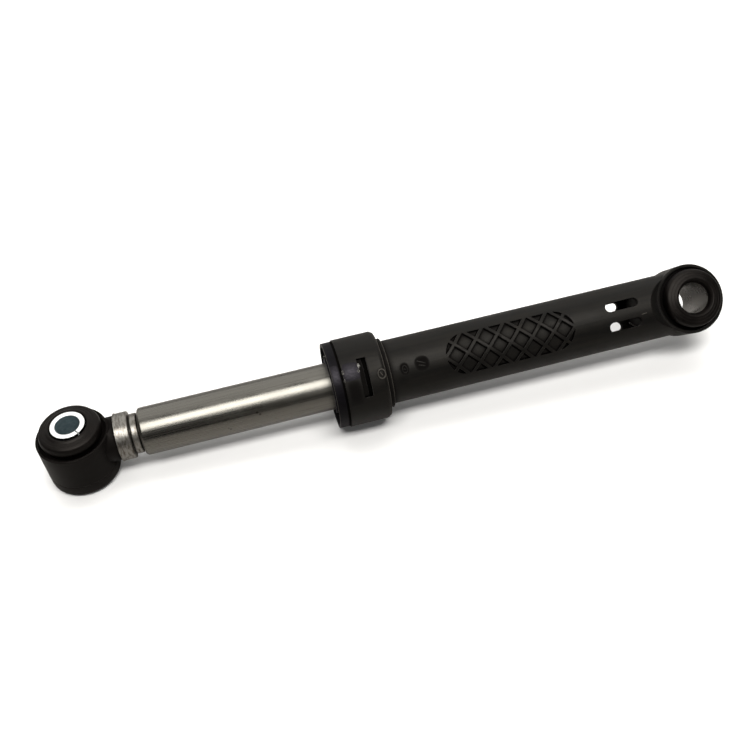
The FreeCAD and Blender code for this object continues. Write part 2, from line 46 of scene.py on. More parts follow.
# Edges sharper than this stay sharp, and turned pieces have this many steps round
SHARP_EDGE = math.radians(40)
TUBE_STEPS = 160
BUSH_STEPS = 128
SLEEVE_STEPS = 96
RING_STEPS = 160


# Colours and nodes

def linear(code):
    """Turn an sRGB hex colour into linear light with full alpha."""
    parts = [int(code[i:i + 2], 16) / 255 for i in (1, 3, 5)]
    return tuple(c / 12.92 if c <= 0.04045 else ((c + 0.055) / 1.055) ** 2.4 for c in parts) + (1.0,)


def per(size_mm):
    """Texture scale at which a pattern repeats about every size_mm on coordinates in metres."""
    return 1.0 / (size_mm * MM)


def add(tree, kind, inputs=None, **settings):
    """Add one node: settings are its own properties, inputs are values or sockets to link."""
    node = tree.nodes.new(kind)
    for name, value in settings.items():
        setattr(node, name, value)
    for name, value in (inputs or {}).items():
        if isinstance(value, bpy.types.NodeSocket):
            tree.links.new(value, node.inputs[name])
        else:
            node.inputs[name].default_value = value
    return node


def new_material(name, inputs):
    """Start a material: a Principled shader with constant inputs, its tree and Object coordinates."""
    material = bpy.data.materials.new(name)
    material.use_nodes = True
    tree = material.node_tree
    shader = tree.nodes["Principled BSDF"]
    for key, value in inputs.items():
        shader.inputs[key].default_value = value
    place = add(tree, "ShaderNodeTexCoord").outputs["Object"]
    return material, tree, shader, place


# Materials

def moulded_nylon(name, dark, dusty, gleam, shine):
    """Glass-filled nylon, moulded: near-black and satin, with a gleam of its own colour.

    The eye sees fine fibre grain, slow cloudy changes of sheen, flow lines along the part, a little dust and
    handling scuffs, crevices darkened to near black as painted shade, and a soft glint on edges that the
    mould leaves slightly round.  The attribute stain is 1 where dirty grease has dulled it.
    """
    material, tree, shader, place = new_material(name, {
        "IOR": 1.48, "Specular IOR Level": shine, "Specular Tint": linear(gleam),
        "Sheen Weight": 0.05, "Sheen Roughness": 0.3, "Sheen Tint": linear(gleam)})
    clouds = add(tree, "ShaderNodeTexNoise", {"Vector": place, "Scale": per(14), "Detail": 5.0})
    flow_space = add(tree, "ShaderNodeMapping", {"Vector": place, "Scale": (per(30), per(1.6), per(1.6))})
    flow = add(tree, "ShaderNodeTexNoise",
               {"Vector": flow_space.outputs["Vector"], "Scale": 1.0, "Detail": 3.0})
    # The fibre grain is drawn coarser than it is, so that it shows
    grain = add(tree, "ShaderNodeTexNoise", {"Vector": place, "Scale": per(0.45), "Detail": 2.0})
    scuff_space = add(tree, "ShaderNodeMapping",
                      {"Vector": place, "Rotation": (0.3, 0.5, 0.9), "Scale": (per(7), per(1.1), per(2.5))})
    scuffs = add(tree, "ShaderNodeTexNoise",
                 {"Vector": scuff_space.outputs["Vector"], "Scale": 1.0, "Detail": 5.0, "Roughness": 0.65})
    scuffed = add(tree, "ShaderNodeMapRange",
                  {"Value": scuffs.outputs["Fac"], "From Min": 0.58, "From Max": 0.78, "To Max": 0.6})
    mottle = add(tree, "ShaderNodeMath", {0: clouds.outputs["Fac"], 1: flow.outputs["Fac"]},
                 operation="MULTIPLY")
    dust = add(tree, "ShaderNodeMapRange",
               {"Value": mottle.outputs["Value"], "From Min": 0.16, "From Max": 0.40, "To Max": 0.7})
    cover = add(tree, "ShaderNodeMath",
                {0: dust.outputs["Result"], 1: scuffed.outputs["Result"]}, operation="ADD", use_clamp=True)
    colour = add(tree, "ShaderNodeMixRGB",
                 {"Fac": cover.outputs["Value"], "Color1": linear(dark), "Color2": linear(dusty)})
    # Painted shade: crevices a millimetre or two wide turn near black and matt; stained grease does too
    depth = add(tree, "ShaderNodeAmbientOcclusion", {"Distance": 3 * MM}, samples=8)
    stain = add(tree, "ShaderNodeAttribute", attribute_name="stain").outputs["Fac"]
    lit = add(tree, "ShaderNodeMapRange", {"Value": depth.outputs["AO"], "From Min": 0.7, "From Max": 0.97})
    open_air = add(tree, "ShaderNodeMath", {0: lit.outputs["Result"], 1: stain}, operation="SUBTRACT",
                   use_clamp=True)
    shaded = add(tree, "ShaderNodeMixRGB", {"Fac": open_air.outputs["Value"], "Color1": linear("#020101"),
                                            "Color2": colour.outputs["Color"]})
    sheen = add(tree, "ShaderNodeMapRange", {"Value": clouds.outputs["Fac"], "From Min": 0.25,
                                             "From Max": 0.75, "To Min": 0.44, "To Max": 0.60})
    closed = add(tree, "ShaderNodeMath", {0: 1.0, 1: open_air.outputs["Value"]}, operation="SUBTRACT")
    rough = add(tree, "ShaderNodeMath", {0: closed.outputs["Value"], 1: 0.5, 2: sheen.outputs["Result"]},
                operation="MULTIPLY_ADD", use_clamp=True)
    edge = add(tree, "ShaderNodeBevel", {"Radius": 0.4 * MM}, samples=4)
    bump = add(tree, "ShaderNodeBump", {"Height": grain.outputs["Fac"], "Strength": 0.3,
                                        "Distance": 0.03 * MM, "Normal": edge.outputs["Normal"]})
    tree.links.new(shaded.outputs["Color"], shader.inputs["Base Color"])
    tree.links.new(rough.outputs["Value"], shader.inputs["Roughness"])
    tree.links.new(bump.outputs["Normal"], shader.inputs["Normal"])
    return material


def moulded_rubber(name, dark, bloomed, shine, rough):
    """Black rubber, compression moulded: duller than the nylon, with patchy bloom and a fine texture.

    Matt black painted shade for gaps and pockets looks the same, but blacker and quite matt.
    """
    material, tree, shader, place = new_material(name, {
        "IOR": 1.5, "Specular IOR Level": shine, "Specular Tint": linear("#fff7ef")})
    bloom = add(tree, "ShaderNodeTexNoise",
                {"Vector": place, "Scale": per(5), "Detail": 5.0, "Roughness": 0.6})
    grain = add(tree, "ShaderNodeTexNoise", {"Vector": place, "Scale": per(0.5), "Detail": 2.0})
    cover = add(tree, "ShaderNodeMapRange",
                {"Value": bloom.outputs["Fac"], "From Min": 0.35, "From Max": 0.75})
    colour = add(tree, "ShaderNodeMixRGB", {"Fac": cover.outputs["Result"], "Color1": linear(dark),
                                            "Color2": linear(bloomed)})
    # Painted shade: crevices a couple of millimetres wide turn near black
    depth = add(tree, "ShaderNodeAmbientOcclusion", {"Distance": 2 * MM}, samples=8)
    open_air = add(tree, "ShaderNodeMapRange",
                   {"Value": depth.outputs["AO"], "From Min": 0.4, "From Max": 0.8})
    shaded = add(tree, "ShaderNodeMixRGB", {"Fac": open_air.outputs["Result"], "Color1": linear("#010101"),
                                            "Color2": colour.outputs["Color"]})
    dull = add(tree, "ShaderNodeMapRange", {"Value": bloom.outputs["Fac"], "From Min": 0.3, "From Max": 0.7,
                                            "To Min": rough - 0.08, "To Max": rough + 0.08})
    bump = add(tree, "ShaderNodeBump",
               {"Height": grain.outputs["Fac"], "Strength": 0.3, "Distance": 0.03 * MM})
    tree.links.new(shaded.outputs["Color"], shader.inputs["Base Color"])
    tree.links.new(dull.outputs["Result"], shader.inputs["Roughness"])
    tree.links.new(bump.outputs["Normal"], shader.inputs["Normal"])
    return material


def drawn_steel():
    """Steel tube, cold drawn and oiled: fine bright and dull lines along the draw, with a grey oil film.

    The attribute worn is 1 on the rolled band, which is scratched and stained, and the grooves are darkened
    by their depth as painted shade.
    """
    material, tree, shader, place = new_material("cold_drawn_steel", {"Metallic": 1.0})
    # The draw lines are drawn coarser than they are, so that they show
    line_space = add(tree, "ShaderNodeMapping", {"Vector": place, "Scale": (per(60), per(0.5), per(0.5))})
    lines = add(tree, "ShaderNodeTexNoise",
                {"Vector": line_space.outputs["Vector"], "Scale": 1.0, "Detail": 4.0})
    film = add(tree, "ShaderNodeTexNoise", {"Vector": place, "Scale": per(14), "Detail": 3.0})
    scratch_space = add(tree, "ShaderNodeMapping",
                        {"Vector": place, "Scale": (per(3.0), per(0.35), per(0.35))})
    scratches = add(tree, "ShaderNodeTexNoise", {"Vector": scratch_space.outputs["Vector"], "Scale": 1.0,
                                                 "Detail": 5.0, "Roughness": 0.7})
    worn = add(tree, "ShaderNodeAttribute", attribute_name="worn").outputs["Fac"]
    groove_shade = add(tree, "ShaderNodeAttribute", attribute_name="groove_shade").outputs["Fac"]
    drawn = add(tree, "ShaderNodeMixRGB", {"Fac": lines.outputs["Fac"], "Color1": linear("#63615c"),
                                           "Color2": linear("#7f7d77")})
    rolled = add(tree, "ShaderNodeMixRGB", {"Fac": worn, "Color1": drawn.outputs["Color"],
                                            "Color2": linear("#8f8d88")})
    blot_space = add(tree, "ShaderNodeMapping", {"Vector": place, "Scale": (per(0.9), per(3.0), per(3.0))})
    blots = add(tree, "ShaderNodeTexNoise",
                {"Vector": blot_space.outputs["Vector"], "Scale": 1.0, "Detail": 6.0, "Roughness": 0.7})
    stained = add(tree, "ShaderNodeMapRange",
                  {"Value": blots.outputs["Fac"], "From Min": 0.45, "From Max": 0.68})
    stain = add(tree, "ShaderNodeMath", {0: stained.outputs["Result"], 1: worn}, operation="MULTIPLY")
    banded = add(tree, "ShaderNodeMixRGB", {"Fac": stain.outputs["Value"], "Color1": rolled.outputs["Color"],
                                            "Color2": linear("#4a4138")})
    spots = add(tree, "ShaderNodeTexVoronoi", {"Vector": place, "Scale": per(9)})
    spotted = add(tree, "ShaderNodeMapRange", {"Value": spots.outputs["Distance"], "From Min": 0.03,
                                               "From Max": 0.07, "To Min": 0.8, "To Max": 0.0})
    specked = add(tree, "ShaderNodeMixRGB", {"Fac": spotted.outputs["Result"],
                                             "Color1": banded.outputs["Color"], "Color2": linear("#2e2a25")})
    # Painted shade: the grooves darken with their depth
    colour = add(tree, "ShaderNodeMixRGB", {"Fac": groove_shade, "Color1": specked.outputs["Color"],
                                            "Color2": linear("#1c1917")})
    polish = add(tree, "ShaderNodeMapRange", {"Value": lines.outputs["Fac"], "From Min": 0.3, "From Max": 0.7,
                                              "To Min": 0.20, "To Max": 0.32})
    oily = add(tree, "ShaderNodeMapRange", {"Value": film.outputs["Fac"], "From Min": 0.35, "From Max": 0.7,
                                            "To Min": 0.0, "To Max": 0.08})
    rough = add(tree, "ShaderNodeMath", {0: polish.outputs["Result"], 1: oily.outputs["Result"]},
                operation="ADD")
    rougher = add(tree, "ShaderNodeMath", {0: worn, 1: 0.08, 2: rough.outputs["Value"]},
                  operation="MULTIPLY_ADD")
    deep = add(tree, "ShaderNodeMath", {0: scratches.outputs["Fac"], 1: worn}, operation="MULTIPLY")
    relief = add(tree, "ShaderNodeMath", {0: lines.outputs["Fac"], 1: 0.12, 2: deep.outputs["Value"]},
                 operation="MULTIPLY_ADD")
    bump = add(tree, "ShaderNodeBump",
               {"Height": relief.outputs["Value"], "Strength": 0.35, "Distance": 0.05 * MM})
    tree.links.new(colour.outputs["Color"], shader.inputs["Base Color"])
    tree.links.new(rougher.outputs["Value"], shader.inputs["Roughness"])
    tree.links.new(bump.outputs["Normal"], shader.inputs["Normal"])
    return material


def zinc_plate(name, pale, deep, metal, rough):
    """Bright zinc plate over cut strip: pale and satin on the sheared ends, and darker blue-grey in the bore
    as painted shade.
    """
    material, tree, shader, place = new_material(name, {"Metallic": metal})
    spangle = add(tree, "ShaderNodeTexNoise", {"Vector": place, "Scale": per(1.4), "Detail": 4.0})
    roll_space = add(tree, "ShaderNodeMapping", {"Vector": place, "Scale": (per(0.4), per(0.4), per(8))})
    rolling = add(tree, "ShaderNodeTexNoise",
                  {"Vector": roll_space.outputs["Vector"], "Scale": 1.0, "Detail": 3.0})
    colour = add(tree, "ShaderNodeMixRGB", {"Fac": spangle.outputs["Fac"], "Color1": linear(deep),
                                            "Color2": linear(pale)})
    satin = add(tree, "ShaderNodeMapRange", {"Value": rolling.outputs["Fac"], "To Min": rough - 0.08,
                                             "To Max": rough + 0.08})
    bump = add(tree, "ShaderNodeBump",
               {"Height": rolling.outputs["Fac"], "Strength": 0.15, "Distance": 0.02 * MM})
    tree.links.new(colour.outputs["Color"], shader.inputs["Base Color"])
    tree.links.new(satin.outputs["Result"], shader.inputs["Roughness"])
    tree.links.new(bump.outputs["Normal"], shader.inputs["Normal"])
    return material


def plain_moulding(name, dark, light, rough):
    """Unfilled plastic or foam out of sight: one colour, lightly mottled, with a fine moulded grain."""
    material, tree, shader, place = new_material(name, {"IOR": 1.48})
    mottle = add(tree, "ShaderNodeTexNoise", {"Vector": place, "Scale": per(3), "Detail": 4.0})
    colour = add(tree, "ShaderNodeMixRGB", {"Fac": mottle.outputs["Fac"], "Color1": linear(dark),
                                            "Color2": linear(light)})
    satin = add(tree, "ShaderNodeMapRange", {"Value": mottle.outputs["Fac"], "To Min": rough - 0.1,
                                             "To Max": rough + 0.1})
    bump = add(tree, "ShaderNodeBump",
               {"Height": mottle.outputs["Fac"], "Strength": 0.2, "Distance": 0.05 * MM})
    tree.links.new(colour.outputs["Color"], shader.inputs["Base Color"])
    tree.links.new(satin.outputs["Result"], shader.inputs["Roughness"])
    tree.links.new(bump.outputs["Normal"], shader.inputs["Normal"])
    return material


def lithium_grease(name, dark, pale, gleam, shine):
    """Lithium grease, smeared: a wet, streaky film that catches the light in points.

    The attribute wet falls from 1 to 0 where the film thins out to bare plastic.
    """
    material, tree, shader, place = new_material(name, {
        "IOR": 1.48, "Specular IOR Level": shine, "Specular Tint": linear(gleam)})
    wet = add(tree, "ShaderNodeAttribute", attribute_name="wet").outputs["Fac"]
    ripple = add(tree, "ShaderNodeTexNoise",
                 {"Vector": place, "Scale": per(0.8), "Detail": 5.0, "Roughness": 0.7})
    thick = add(tree, "ShaderNodeMapRange",
                {"Value": ripple.outputs["Fac"], "From Min": 0.5, "From Max": 0.7})
    colour = add(tree, "ShaderNodeMixRGB", {"Fac": thick.outputs["Result"], "Color1": linear(dark),
                                            "Color2": linear(pale)})
    streaky = add(tree, "ShaderNodeMapRange", {"Value": ripple.outputs["Fac"], "From Min": 0.3,
                                               "From Max": 0.7, "To Min": 0.15, "To Max": 0.4})
    rough = add(tree, "ShaderNodeMath", {0: wet, 1: streaky.outputs["Result"]}, operation="MULTIPLY")
    dull = add(tree, "ShaderNodeMath", {0: 0.62, 1: rough.outputs["Value"]}, operation="SUBTRACT")
    bump = add(tree, "ShaderNodeBump",
               {"Height": ripple.outputs["Fac"], "Strength": 0.8, "Distance": 0.15 * MM})
    tree.links.new(colour.outputs["Color"], shader.inputs["Base Color"])
    tree.links.new(dull.outputs["Value"], shader.inputs["Roughness"])
    tree.links.new(bump.outputs["Normal"], shader.inputs["Normal"])
    return material


BARREL_NYLON = moulded_nylon("barrel_glass_filled_nylon", "#030303", "#110f0c", "#fffaf3", 0.20)
EYE_NYLON = moulded_nylon("eye_glass_filled_nylon", "#030202", "#0a0807", "#fff6ee", 0.13)
RING_NYLON = moulded_nylon("cartridge_glass_filled_nylon", "#020203", "#0a080c", "#faf4ff", 0.12)
# Pale nylon: rubbed on raised marks, and painted highlight on the edge wires behind the bell and front ring
RUBBED_AND_HIGHLIGHT_NYLON = moulded_nylon("rubbed_and_highlight_glass_filled_nylon", "#2a2825", "#3e3c37", "#fff8f0", 0.3)
# Painted shade: matt black for the slit, the front ring's gap and the grip's pockets
SHADE_BLACK = moulded_rubber("matt_black_painted_shade", "#010101", "#040302", 0.03, 0.8)
RUBBER = moulded_rubber("black_moulded_rubber", "#030202", "#0a0706", 0.15, 0.46)
# Painted light: grey rubber that stands in for light on the bare bore's wall
POLISHED_RUBBER_PAINTED_LIGHT = moulded_rubber("polished_bore_rubber_painted_light", "#403e3b", "#575551", 0.6, 0.3)
STEEL = drawn_steel()
ZINC_FACE = zinc_plate("zinc_plate_cut_end", "#f1f2f0", "#dcdfe0", 0.35, 0.5)
# Painted shade: a darker blue-grey copy of the zinc for the sleeve's bore
ZINC_BORE_PAINTED_SHADE = zinc_plate("zinc_plate_bore_painted_shade", "#8fa3aa", "#4c5c62", 0.5, 0.42)
INNER_NYLON = plain_moulding("inner_natural_nylon", "#24221f", "#34312c", 0.5)
GUIDE_ACETAL = plain_moulding("guide_natural_acetal", "#d9d4c6", "#e6e2d6", 0.4)
GREASED_FOAM = plain_moulding("greased_foam", "#3a3122", "#5a4c34", 0.55)
GREASE_FILM = lithium_grease("lithium_grease_film", "#040304", "#141114", "#f6f0ff", 0.22)
GREASE = lithium_grease("lithium_grease", "#3a3836", "#d6d4ce", "#ffffff", 0.5)


# Turned surfaces

def softened(corners, steps=6):
    """Round the corners of a closed outline.

    Each corner is a place and the run its rounding takes off both its sides.  The rounding is the quadratic
    curve from one side to the other with the corner as its control point, at steps even parameters.
    """
    table = np.asarray(corners, dtype=float)
    corner, run = table[:, :2], table[:, 2]
    back = np.roll(corner, 1, axis=0) - corner
    ahead = np.roll(corner, -1, axis=0) - corner
    back_length = np.linalg.norm(back, axis=1)
    ahead_length = np.linalg.norm(ahead, axis=1)
    cut = np.minimum(run, 0.49 * np.minimum(back_length, ahead_length))
    start = corner + back * (cut / back_length)[:, None]
    end = corner + ahead * (cut / ahead_length)[:, None]
    t = np.linspace(0.0, 1.0, steps)[None, :, None]
    curve = (1 - t) ** 2 * start[:, None] + 2 * t * (1 - t) * corner[:, None] + t ** 2 * end[:, None]
    return curve.reshape(-1, 2)


def revolved(outline, segments, first=0.0, span=2 * math.pi):
    """Carry a closed outline of (height, radius) round its axis.

    Point (i, j) lies at height h_j, at radius r_j and at angle first + span * i / segments.  A full turn
    closes on itself, and a part turn has a face at each end, after the quads.  An outline that runs counter
    to the clock gives faces that point outwards.  Gives points as height and two across, with their faces.
    """
    height, radius = outline[:, 0], outline[:, 1]
    count = len(outline)
    full = span > 2 * math.pi - 1e-9
    rows = segments if full else segments + 1
    angle = first + span * np.arange(rows) / segments
    points = np.stack([
        np.broadcast_to(height, (rows, count)),
        radius * np.cos(angle)[:, None],
        radius * np.sin(angle)[:, None],
    ], axis=-1).reshape(-1, 3)
    i = np.arange(segments)[:, None]
    j = np.arange(count)[None, :]
    there, along = (i + 1) % rows, (j + 1) % count
    quads = np.stack(np.broadcast_arrays(i * count + j, i * count + along, there * count + along,
                                         there * count + j), axis=-1).reshape(-1, 4)
    faces = quads.tolist()
    if not full:
        faces.append(list(range(count))[::-1])
        faces.append(list(range(segments * count, rows * count)))
    return points, faces


def along_x(points, start):
    """Place turned points with their axis on the damper's own, in metres, from start in millimetres."""
    return np.stack([points[:, 0] + start, points[:, 1], points[:, 2]], axis=-1) * MM


def along_rod_bolt(points):
    """Place turned points on the rod eye's bolt line, which is upright."""
    return np.stack([points[:, 1] + ROD_EYE_X, points[:, 2], points[:, 0]], axis=-1) * MM


def barrel_place(points):
    """Place points given from the barrel eye: x to the mouth, z along that eye's bore."""
    x, y, z = points[:, 0], points[:, 1], points[:, 2]
    cosine, sine = math.cos(BARREL_TWIST), math.sin(BARREL_TWIST)
    return np.stack([-x, -y * cosine - z * sine, -y * sine + z * cosine], axis=-1) * MM


def along_barrel_bolt(points):
    """Place turned points on the barrel eye's bolt line."""
    return barrel_place(np.stack([points[:, 1], points[:, 2], points[:, 0]], axis=-1))


def new_piece(name, points, faces, body, materials, stands_for=None):
    """Make a mesh piece, smooth but for edges sharper than SHARP_EDGE, that rides on a CAD body."""
    mesh = bpy.data.meshes.new(name)
    mesh.from_pydata(points.tolist(), [], faces)
    for material in materials:
        mesh.materials.append(material)
    mesh.update()
    piece = bpy.data.objects.new(name, mesh)
    bpy.context.scene.collection.objects.link(piece)
    mesh.shade_smooth()
    mesh.set_sharp_from_angle(angle=SHARP_EDGE)
    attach(piece, body)
    if stands_for:
        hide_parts(stands_for)
    return piece


def paint(piece, name, values):
    """Store one number for each vertex, for the piece's material to read."""
    layer = piece.data.attributes.new(name, "FLOAT", "POINT")
    layer.data.foreach_set("value", np.asarray(values, dtype=np.float32))


# Steel rod tube, from its crimped end, in millimetres: its corners are places along it, radii and roundings
TUBE_START = ROD_EYE_X + 16.8
BAND_END = 5.6
CRIMP_END = 10.4
TUBE_LENGTH = 133.7
# Run and radius that bound the painted shade in the grooves, the depth that makes it black, and how soon wear
# ends
GROOVE_SHADE_START = BAND_END - 0.2
GROOVE_SHADE_END = CRIMP_END - 0.4
GROOVE_SHADE_RADIUS = 8.3
GROOVE_SHADE_DEPTH = 0.8
WEAR_FADE = 0.6
TUBE_CORNERS = [
    (0.0, 10.2, 0.25), (0.9, 9.9, 0.8), (BAND_END, 9.9, 0.5), (5.9, 7.7, 0.2), (6.1, 7.7, 0.2),
    (6.4, 8.4, 0.5), (8.9, 8.4, 0.5), (9.2, 7.6, 0.2), (9.4, 7.6, 0.2), (9.7, 9.2, 0.3),
    (CRIMP_END, 10.0, 1.6), (TUBE_LENGTH, 10.0, 0.3), (TUBE_LENGTH, 9.0, 0.2), (12.0, 9.0, 0.5),
    (9.6, 6.4, 0.5), (5.6, 6.4, 0.5), (4.6, 8.9, 0.5), (0.0, 8.9, 0.2),
]


def make_tube():
    """Drawn tube with its crimped end; the band is worn, and painted shade darkens the two rolled grooves."""
    outline = softened(TUBE_CORNERS)
    points, faces = revolved(outline[::-1], TUBE_STEPS)
    piece = new_piece("steel_tube", along_x(points, TUBE_START), faces, "rod", [STEEL],
                      "rod_tube")
    place = points[:, 0]
    radius = np.hypot(points[:, 1], points[:, 2])
    paint(piece, "worn", np.clip((CRIMP_END - place) / WEAR_FADE, 0, 1))
    crimped = (place > GROOVE_SHADE_START) & (place < GROOVE_SHADE_END)
    # Painted shade: the grooves darken the deeper they sink
    paint(piece, "groove_shade", np.where(crimped, np.clip((GROOVE_SHADE_RADIUS - radius) / GROOVE_SHADE_DEPTH, 0, 1), 0))


# Rubber bush: height along the bolt, radius and rounding, from the foot round the flange to the bore
BUSH_CORNERS = [
    (-14.0, 7.0, 0.5), (-14.0, 14.6, 2.0), (-8.3, 14.6, 0.2), (-8.3, 13.9, 0.1), (-6.1, 13.9, 0.1),
    (-6.1, 11.0, 0.1), (6.1, 11.0, 0.1), (6.1, 11.6, 0.1), (9.4, 11.6, 0.3), (9.4, 12.6, 0.35),
    (11.1, 12.6, 0.8), (12.5, 12.1, 0.9), (13.0, 10.8, 0.5), (13.06, 10.6, 0.1), (12.96, 10.5, 0.1),
    (13.4, 9.4, 0.2), (13.34, 9.3, 0.1), (14.0, 8.2, 0.45), (13.5, 7.3, 0.4), (12.7, 7.0, 0.5),
]
BARE_BORE = 6.6
BARE_LIP = [(14.0, 8.2, 0.45), (13.0, 7.2, 0.5), (11.6, BARE_BORE, 0.7), (-14.0, 6.45, 0.5)]


def make_bushes():
    """Both rubber bushes: the flange has two shallow mould rings, and the bore's lip is rounded.

    The bush with no sleeve has a deeper lip and a polished bore, drawn in a little at its foot, whose grey is
    painted light.
    """
    points, faces = revolved(softened(BUSH_CORNERS)[::-1], BUSH_STEPS)
    new_piece("rod_bush", along_rod_bolt(points), faces, "rod", [RUBBER], "rod_eye_bush")
    points, faces = revolved(softened(BUSH_CORNERS[1:-3] + BARE_LIP)[::-1], BUSH_STEPS)
    bush = new_piece("barrel_bush", along_barrel_bolt(points), faces, "barrel",
                     [RUBBER, POLISHED_RUBBER_PAINTED_LIGHT], "barrel_eye_bush")
    radius = np.hypot(points[:, 1], points[:, 2])
    slack = 0.02
    bored = radius[np.array(faces)].max(axis=1) < BARE_BORE + slack
    bush.data.polygons.foreach_set("material_index", bored.astype(np.int32))


def make_sleeve():
    """Rolled sleeve with its open joint: pale cut ends, a bore darker as painted shade, and black rubber
    outside as painted shade.
    """
    half, outer, bore, broken = 14.3, 7.0, 5.0, 0.3
    slit, joint = 0.7, math.radians(-54.0)
    outline = softened([(end, radius, broken) for end, radius in
                        ((-half, bore), (-half, outer), (half, outer), (half, bore))])
    gap = slit / outer
    points, faces = revolved(outline[::-1], SLEEVE_STEPS, joint + gap / 2, 2 * math.pi - gap)
    piece = new_piece("zinc_sleeve", along_rod_bolt(points), faces, "rod",
                      [ZINC_FACE, ZINC_BORE_PAINTED_SHADE, RUBBER], "rod_eye_sleeve")
    # The two faces at the joint come last, and are pale like the ends
    radius = np.hypot(points[:, 1], points[:, 2])[np.array(faces[:-2])]
    slack = 0.1
    # Painted shade: the bore takes the darker zinc, and the outside black rubber for the shadow in the bush's
    # lip
    coat = np.zeros(len(faces), dtype=np.int32)
    coat[:-2][radius.max(axis=1) < bore + slack] = 1
    coat[:-2][radius.min(axis=1) > outer - slack] = 2
    piece.data.polygons.foreach_set("material_index", coat)


# Marks and smears on the barrel's round surfaces, in millimetres from the barrel eye

# Radii of the barrel, its bell, the front ring, the window's floor and the lug in it, of the beads of grease
# along the bell's edges, and of the front ring's hollow
BARREL_RADIUS = 13.6
BELL_RADIUS = 18.75
RING_RADIUS = 18.25
WINDOW_FLOOR = 17.0
LUG_RADIUS = 18.1
BEAD_RADIUS = 18.7
RING_HOLLOW = 16.95
# Depths that strokes and patches are sunk by, and points along strokes, across them, round loops and wires,
# and along the sides of patches
STROKE_SUNK = 0.03
PATCH_SUNK = 0.02
STROKE_POINTS = 25
SECTION_POINTS = 9
LOOP_POINTS = 64
WIRE_POINTS = 8
PATCH_POINTS = 41


def on_barrel(along, across, radius, lift):
    """Wrap flat places on the barrel: across is an arc from the eye's bore line, lift adds to the radius."""
    angle = across / radius
    reach = radius + lift
    points = np.stack([along, reach * np.sin(angle), reach * np.cos(angle)], axis=-1)
    return barrel_place(points.reshape(-1, 3))


def grid_faces(rows, columns, round_and_round=False):
    """List the quads of a grid of points, with its last row joined to the first if it goes round."""
    i = np.arange(rows if round_and_round else rows - 1)[:, None]
    j = np.arange(columns - 1)[None, :]
    here, there = i * columns + j, (i + 1) % rows * columns + j
    return np.stack(np.broadcast_arrays(here, there, there + 1, here + 1), axis=-1).reshape(-1, 4).tolist()


def raised_loop(name, centre, radius, half_along, half_across, width, height, material):
    """A moulded oval ring: an ellipse round the centre that carries a half-round section.

    Both half axes grow by half the width times the cosine of the section's angle, and the lift is the height
    times its sine, less what is sunk.
    """
    turn = np.linspace(0, 2 * math.pi, LOOP_POINTS, endpoint=False)[:, None]
    section = np.linspace(0, math.pi, SECTION_POINTS)[None, :]
    out = width / 2 * np.cos(section)
    along = centre[0] + (half_along + out) * np.cos(turn)
    across = centre[1] + (half_across + out) * np.sin(turn)
    lift = np.broadcast_to(height * np.sin(section) - STROKE_SUNK, along.shape)
    new_piece(name, on_barrel(along, across, radius, lift), grid_faces(LOOP_POINTS, SECTION_POINTS, True),
              "barrel", [material])


def stroke(start, end, width, height):
    """Flat places and lift of a stroke: a half-round section that sinks at both ends as the eighth power."""
    run = np.linspace(-1, 1, STROKE_POINTS)[:, None]
    section = np.linspace(math.pi, 0, SECTION_POINTS)[None, :]
    first, last = np.array(start), np.array(end)
    middle, half = (first + last) / 2, (last - first) / 2
    side = np.array([-half[1], half[0]]) / np.linalg.norm(half) * width / 2
    along = middle[0] + half[0] * run + side[0] * np.cos(section)
    across = middle[1] + half[1] * run + side[1] * np.cos(section)
    return along, across, height * np.sin(section) * (1 - run ** 8) - STROKE_SUNK


def raised_bar(name, start, end, radius, width, height, material):
    """A moulded stroke from start to end, wrapped on the barrel."""
    along, across, lift = stroke(start, end, width, height)
    new_piece(name, on_barrel(along, across, radius, lift), grid_faces(STROKE_POINTS, SECTION_POINTS),
              "barrel", [material])


def domed_patch(name, centre, radius, half, height, slot, material, oval=1.0, ripple=0.0, fade=2):
    """A low patch on the barrel: a square grid, squeezed by oval from an oblong (0) to an ellipse (1).

    Its height falls to the edge as one minus the eighth power of the grid's place each way, and two crossed
    sine waves ripple it.  Both stain and wet fall to the edge in the same way, but with the power fade.
    """
    u = np.linspace(-1, 1, PATCH_POINTS)[:, None]
    v = np.linspace(-1, 1, PATCH_POINTS)[None, :]
    x = u * np.sqrt(1 - oval * v ** 2 / 2)
    y = v * np.sqrt(1 - oval * u ** 2 / 2)
    dome = (1 - u ** 8) * (1 - v ** 8)
    waves = 1 + ripple * np.sin(9 * x + 4 * y) * np.sin(7 * y - 3 * x + 1.0)
    lift = height * dome * waves - PATCH_SUNK
    points = on_barrel(centre[0] + half[0] * x, centre[1] + half[1] * y, radius, lift)
    piece = new_piece(name, points, grid_faces(PATCH_POINTS, PATCH_POINTS), "barrel", [material])
    inner = (1 - u ** fade) * (1 - v ** fade)
    paint(piece, "stain", inner.ravel())
    paint(piece, "wet", inner.ravel())


def ring_round(name, outline, material):
    """A thin ring round the barrel from a closed outline of places along the barrel and radii."""
    points, faces = revolved(np.array(outline, dtype=float), RING_STEPS)
    new_piece(name, barrel_place(points), faces, "barrel", [material])


